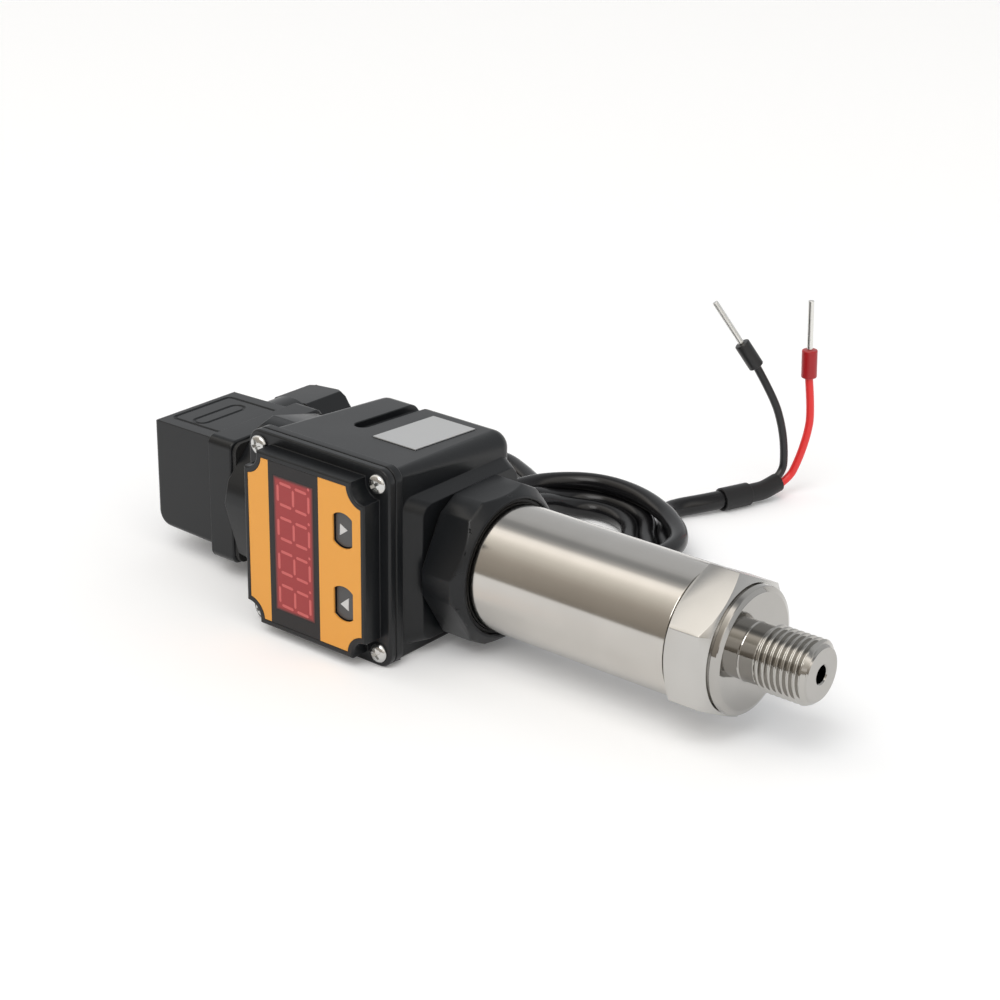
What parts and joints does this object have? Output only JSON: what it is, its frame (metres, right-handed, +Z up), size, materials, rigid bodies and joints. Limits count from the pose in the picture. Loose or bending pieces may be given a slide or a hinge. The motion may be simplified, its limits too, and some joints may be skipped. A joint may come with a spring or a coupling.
{
  "type": "pressure transmitter",
  "caption": "Stainless pressure transmitter with a plug-on digital display, an angled cable plug and a coiled two-core cable.",
  "frame": {"origin": "on the sensor's axis, in the plane of the collar's front face, inside the pressure port", "axes": "+X along the sensor's axis towards the process thread's end, -Y out of the display, +Z up along the display's height"},
  "size_m": [0.166, 0.1399, 0.0489],
  "materials": {
    "stainless": "turned and milled stainless steel, polished collar face",
    "stainless_tube": "fine brushed along the tube",
    "ceramic": "matt white ceramic",
    "rubber": "matt black rubber",
    "circuit_board": "satin green board",
    "black_plastic": "moulded plastic with a fine grain",
    "brass": "turned brass",
    "tinned_brass": "bright tin plating",
    "zinc_steel": "zinc-plated steel",
    "orange_film": "satin printed film",
    "red_window": "clear red plastic",
    "display_case": "display block",
    "key_switch": "satin black plastic",
    "key_plastic": "satin dark grey key",
    "label_silver": "satin silver label",
    "insert_plastic": "grey plastic",
    "black_jacket": "satin cable jacket",
    "black_sleeve": "matt shrink sleeve",
    "black_core": "satin core insulation",
    "red_core": "satin core insulation"
  },
  "bodies": {
    "transmitter": {"base_contacts": "tinned_brass", "base_gasket": "rubber", "base_insert": "brass", "blank_label": "label_silver", "cable_coil": "black_jacket", "cable_lead": "black_jacket", "cable_tail": "black_jacket", "cell_ring": "stainless", "cell_seal": "rubber", "core_black": "black_core", "core_red": "red_core", "cover_gasket": "rubber", "cover_screws": "zinc_steel", "display_board": "circuit_board", "display_housing": "black_plastic", "display_window": "red_window", "faceplate": "orange_film", "ferrule_collar_black": "black_core", "ferrule_collar_red": "red_core", "ferrule_pin_black": "tinned_brass", "ferrule_pin_red": "tinned_brass", "front_cover": "black_plastic", "gland_nut": "black_plastic", "gland_seal": "rubber", "gland_washer": "insert_plastic", "head_screw": "zinc_steel", "key_switches": "key_switch", "led_module": "display_case", "loop_board": "circuit_board", "plug_base": "black_plastic", "plug_contacts": "tinned_brass", "plug_screw": "zinc_steel", "plug_shell": "black_plastic", "process_fitting": "stainless", "rear_base": "black_plastic", "rear_contacts": "tinned_brass", "rear_gasket": "rubber", "rear_insert": "brass", "rear_nut": "black_plastic", "sensor_board": "circuit_board", "sensor_cell": "ceramic", "sensor_tube": "stainless_tube", "sleeve_large": "black_sleeve", "sleeve_small": "black_sleeve", "socket_contacts": "tinned_brass", "terminal_insert": "insert_plastic", "terminal_screws": "zinc_steel", "tube_seal": "rubber"},
    "button_up": {"button_up": "key_plastic"},
    "button_down": {"button_down": "key_plastic"}
  },
  "joints": [
    {"name": "button_up_press", "type": "slide", "parent": "transmitter", "child": "button_up", "axis": [0, 1, 0], "range_m": [0, 0.0005], "stiffness_N_per_m": 400},
    {"name": "button_down_press", "type": "slide", "parent": "transmitter", "child": "button_down", "axis": [0, 1, 0], "range_m": [0, 0.0005], "stiffness_N_per_m": 400}
  ]
}
